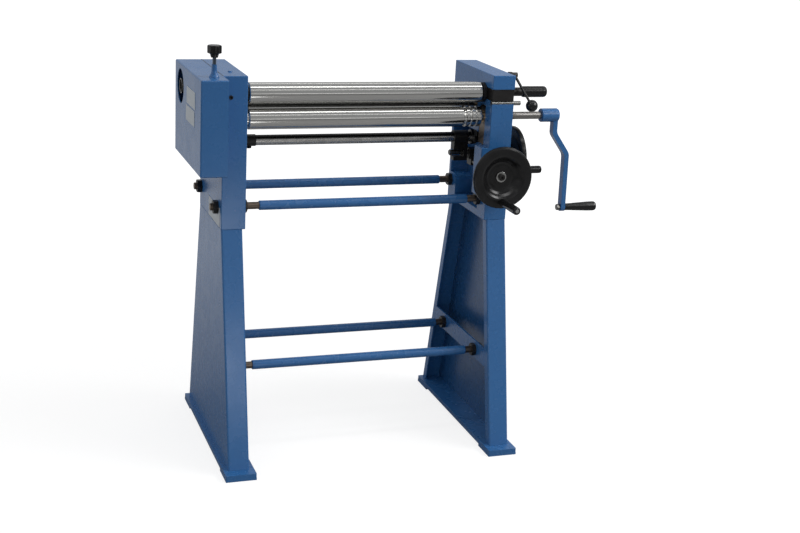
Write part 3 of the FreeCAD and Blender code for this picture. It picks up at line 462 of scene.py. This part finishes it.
def add_wheel_washers():
    """Bright washers round the bolts of both handwheels."""
    for name, body, axis in (("front", "front_handwheel", (0, -1, 0)),
                             ("side", "side_handwheel", (1, 0, 0))):
        low, high = box_span(nodes[name + "_wheel_bolt"])
        middle = (low + high) / 2
        along = Vector(axis)
        tip = middle + along * abs((high - low).dot(along)) / 2
        seat = tip - along * WASHER_DROP
        ring = washer(seat, axis, WASHER_INNER, WASHER_OUTER, WASHER_HEIGHT)
        add_piece(name + "_wheel_washer", [ring], bright_steel, body)


def add_grip_ribs():
    """Moulded ribs round the outer part of the pull grip."""
    low, high = box_span(nodes["pull_grip"])
    middle = (low + high) / 2
    radius = (high.z - low.z) / 2
    start = (high.x - RIB_START, middle.y, middle.z)
    ribs = ridges(start, (1, 0, 0), radius, RIB_PITCH, RIB_COUNT)
    add_piece("pull_grip_ribs", ribs, finishes["black_plastic"], "swing_arm")


def add_stud_threads():
    """Thread ridges on the bare ends and tails of the upper rods."""
    chunks = []
    for y, z in UPPER_RODS:
        for start, side, count in THREAD_RUNS:
            chunks += ridges((start + MACHINE_MIDDLE, y, z), (side, 0, 0), THREAD_RADIUS,
                             THREAD_PITCH, count)
    add_piece("stud_threads", chunks, brown_steel, "stand")


def add_cover_seam():
    """Thin black strip along the joint between the gear cover and the side frame: painted
    shade standing in for the dark gap.
    """
    steps = 30
    outline = ((-0.0009, -0.0004), (-0.0007, 0.0005), (0.0007, 0.0005), (0.0009, -0.0004))
    rows = []
    for k in range(steps + 1):
        y = SEAM_FRONT + (SEAM_BACK - SEAM_FRONT) * k / steps
        for across, up in outline:
            rows.append(Vector((SEAM_X + across, y, FRAME_TOP + up)))
    faces = []
    for k in range(steps):
        for m in range(4):
            a = 4 * k + m
            b = 4 * k + (m + 1) % 4
            faces.append((a, b, b + 4, a + 4))
    last = 4 * steps
    faces.append((0, 3, 2, 1))
    faces.append((last, last + 1, last + 2, last + 3))
    add_piece("cover_seam", [(rows, faces)], finishes["black_steel"], "stand")


def add_collar_screw():
    """Screw head under the plain collar of the lift shaft."""
    profile = [(0.0001, 0), (0.008, 0), (0.008, 0.005), (0.007, 0.006), (0.0045, 0.006),
               (0.004, 0.003), (0.0001, 0.003)]
    head = turned_rows(profile, COLLAR_SCREW, (0, 0, -1), 6)
    add_piece("collar_screw", [head], finishes["black_steel"], "lift_linkage")


add_wheel_washers()
add_grip_ribs()
add_stud_threads()
add_cover_seam()
add_collar_screw()


# Stage, light and camera

def add_floor():
    size = 60.0
    bpy.ops.mesh.primitive_grid_add(x_subdivisions=4, y_subdivisions=4, size=size,
                                    location=(0, 0, 0))
    floor = bpy.context.object
    floor.name = "studio_floor"
    floor.data.materials.append(studio_floor("studio_floor"))


def add_lamp(name, place, target, size, power):
    data = bpy.data.lights.new(name, "AREA")
    data.shape = "RECTANGLE"
    data.size, data.size_y = size
    data.energy = power
    lamp = bpy.data.objects.new(name, data)
    lamp.location = place
    lamp.rotation_euler = (Vector(target) - Vector(place)).to_track_quat("-Z", "Y").to_euler()
    bpy.context.scene.collection.objects.link(lamp)


def add_world():
    """An even pale room, a little paler towards the back, and white to the camera."""
    world = bpy.data.worlds.new("studio")
    world.use_nodes = True
    bpy.context.scene.world = world
    tree = world.node_tree
    room = tree.nodes["Background"]
    room.inputs["Color"].default_value = ROOM_TINT
    place = tree.nodes.new("ShaderNodeTexCoord")
    split = tree.nodes.new("ShaderNodeSeparateXYZ")
    tree.links.new(place.outputs["Generated"], split.inputs["Vector"])
    paler = tree.nodes.new("ShaderNodeMapRange")
    paler.inputs["From Min"].default_value = -0.3
    paler.inputs["From Max"].default_value = 0.6
    paler.inputs["To Min"].default_value = ROOM_FRONT
    paler.inputs["To Max"].default_value = ROOM_BACK
    tree.links.new(split.outputs["Y"], paler.inputs["Value"])
    rays = tree.nodes.new("ShaderNodeLightPath")
    level = tree.nodes.new("ShaderNodeMath")
    level.operation = "MAXIMUM"
    tree.links.new(rays.outputs["Is Camera Ray"], level.inputs[0])
    tree.links.new(paler.outputs["Result"], level.inputs[1])
    tree.links.new(level.outputs["Value"], room.inputs["Strength"])


def add_camera():
    data = bpy.data.cameras.new("camera")
    data.sensor_width = SENSOR
    data.lens = LENS
    data.clip_end = 200.0
    camera = bpy.data.objects.new("camera", data)
    turn = Matrix.Rotation(-CAMERA_YAW, 4, "Z")
    turn = turn @ Matrix.Rotation(math.radians(90) + CAMERA_PITCH, 4, "X")
    turn = turn @ Matrix.Rotation(CAMERA_ROLL, 4, "Z")
    camera.matrix_world = Matrix.Translation(CAMERA_PLACE) @ turn
    bpy.context.scene.collection.objects.link(camera)
    bpy.context.scene.camera = camera


add_floor()
for lamp in LAMPS:
    add_lamp(*lamp)
add_world()
add_camera()

scene = bpy.context.scene
scene.view_settings.view_transform = "Standard"
